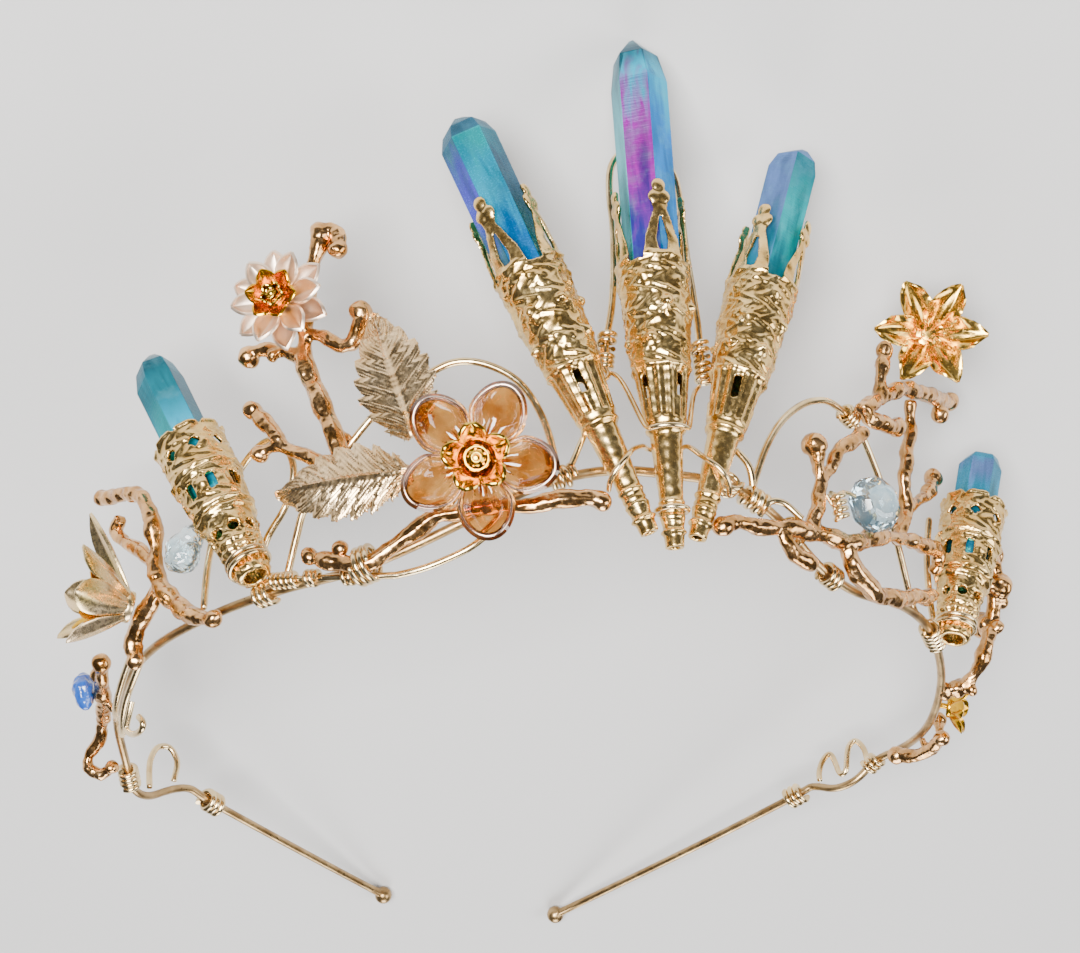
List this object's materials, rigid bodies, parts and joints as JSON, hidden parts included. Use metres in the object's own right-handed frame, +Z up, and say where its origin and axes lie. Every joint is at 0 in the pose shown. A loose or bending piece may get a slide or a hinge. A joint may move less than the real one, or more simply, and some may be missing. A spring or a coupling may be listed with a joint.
{
  "type": "crystal crown",
  "caption": "Wire headband crown with pointed quartz crystals in pierced metal cones, cast twigs, wire arches, leaves, metal and glass flowers, lying on its back.",
  "frame": {"origin": "the middle of the box's base, on the surface the crown lies on", "axes": "+X towards the wearer's left as the picture shows it, +Y from the headband's open ends towards the crystals' tips, +Z up from the surface"},
  "size_m": [0.154, 0.182, 0.0659],
  "materials": {
    "band_wire": "satin, a little dull",
    "bright_wire": "satin",
    "cone_gold": "polished, embossed and pierced",
    "twig_gold": "polished cast bark",
    "leaf_gold": "satin",
    "petal_gold": "satin, with pale edges",
    "rosette_gold": "polished",
    "amber_foil": "polished, tinted",
    "lily_gold": "satin",
    "amber_glass": "clear, with silvered rims",
    "centre_quartz": "iridescent coat",
    "left_quartz": "iridescent coat",
    "right_quartz": "frosted iridescent coat",
    "teal_quartz": "iridescent coat",
    "pale_quartz": "frosted",
    "clear_chip": "clear, tumbled",
    "opal_chip": "milky"
  },
  "bodies": {
    "root": {"headband": "band_wire", "tall_arch": "bright_wire", "left_arch": "bright_wire", "small_left_arch": "bright_wire", "right_arch": "bright_wire", "right_cross_wire": "bright_wire", "right_upright_wire": "bright_wire", "lower_wire": "bright_wire", "neck_tie": "bright_wire", "foot_tie": "bright_wire", "foot_ring": "bright_wire", "stone_post": "bright_wire", "left_arch_coil": "bright_wire", "low_twig_coil": "bright_wire", "right_arch_coil": "bright_wire", "right_twig_coil": "bright_wire", "upper_right_coil": "bright_wire", "tall_arch_left_collar": "bright_wire", "tall_arch_right_collar": "bright_wire", "left_rear_coil": "bright_wire", "right_rear_coil": "bright_wire", "rear_left_loops": "bright_wire", "rear_right_loops": "bright_wire", "centre_cone": "cone_gold", "inner_left_cone": "cone_gold", "inner_right_cone": "cone_gold", "far_left_cone": "cone_gold", "far_right_cone": "cone_gold", "tall_twig": "twig_gold", "left_twig": "twig_gold", "low_twig": "twig_gold", "right_twig": "twig_gold", "upper_right_twig": "twig_gold", "stem_twig": "twig_gold", "hooked_twig": "twig_gold", "rear_left_twig": "twig_gold", "far_right_twig": "twig_gold", "rear_right_twig": "twig_gold", "upper_leaf": "leaf_gold", "lower_leaf": "leaf_gold", "daisy_outer_petals": "petal_gold", "lotus_outer_petals": "petal_gold", "daisy_centre": "rosette_gold", "glass_flower_cup": "rosette_gold", "glass_flower_centre": "rosette_gold", "lotus_centre": "rosette_gold", "daisy_inner_petals": "amber_foil", "lotus_inner_petals": "amber_foil", "small_blossom": "amber_foil", "lily_petals": "lily_gold", "lily_stamens": "lily_gold", "glass_petals": "amber_glass", "centre_crystal": "centre_quartz", "inner_left_crystal": "left_quartz", "inner_right_crystal": "right_quartz", "far_left_crystal": "teal_quartz", "far_right_crystal": "pale_quartz", "clear_stone": "clear_chip", "faceted_stone": "clear_chip", "opal_stone": "opal_chip"}
  },
  "joints": []
}
